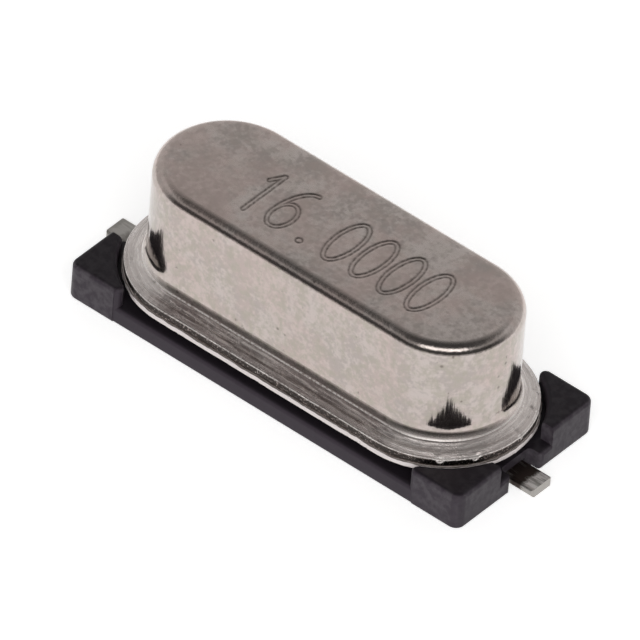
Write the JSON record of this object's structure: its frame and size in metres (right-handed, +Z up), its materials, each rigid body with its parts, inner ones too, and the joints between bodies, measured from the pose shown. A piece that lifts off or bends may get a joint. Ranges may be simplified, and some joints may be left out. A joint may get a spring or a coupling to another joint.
{
  "type": "crystal oscillator",
  "caption": "Surface-mount quartz crystal: an oblong metal can welded to a header, on a black moulded base with corner blocks and flat leads at its ends.",
  "frame": {"origin": "centre of the moulded base's underside, on the seating plane", "axes": "+X along the can towards the right lead, +Z up out of the can's top, +Y to the back"},
  "size_m": [0.0127, 0.0048, 0.0039],
  "materials": {
    "base_plastic": "satin black moulding",
    "header_metal": "plated stamping with a ragged weld edge",
    "can_metal": "satin plated drawn sheet",
    "seal_glass": "fused dark glass",
    "lead_tin": "dull tinned wire",
    "clip_metal": "thin spring strip",
    "quartz": "lapped clear plate",
    "electrode_film": "thin silver film",
    "adhesive": "silver-filled adhesive"
  },
  "bodies": {
    "root": {"insulator_base": "base_plastic", "header": "header_metal", "can": "can_metal", "glass_seal_left": "seal_glass", "glass_seal_right": "seal_glass", "lead_left": "lead_tin", "lead_right": "lead_tin", "mounting_clip_left": "clip_metal", "mounting_clip_right": "clip_metal", "quartz_blank": "quartz", "electrode_front": "electrode_film", "electrode_back": "electrode_film", "adhesive_left": "adhesive", "adhesive_right": "adhesive"}
  },
  "joints": []
}
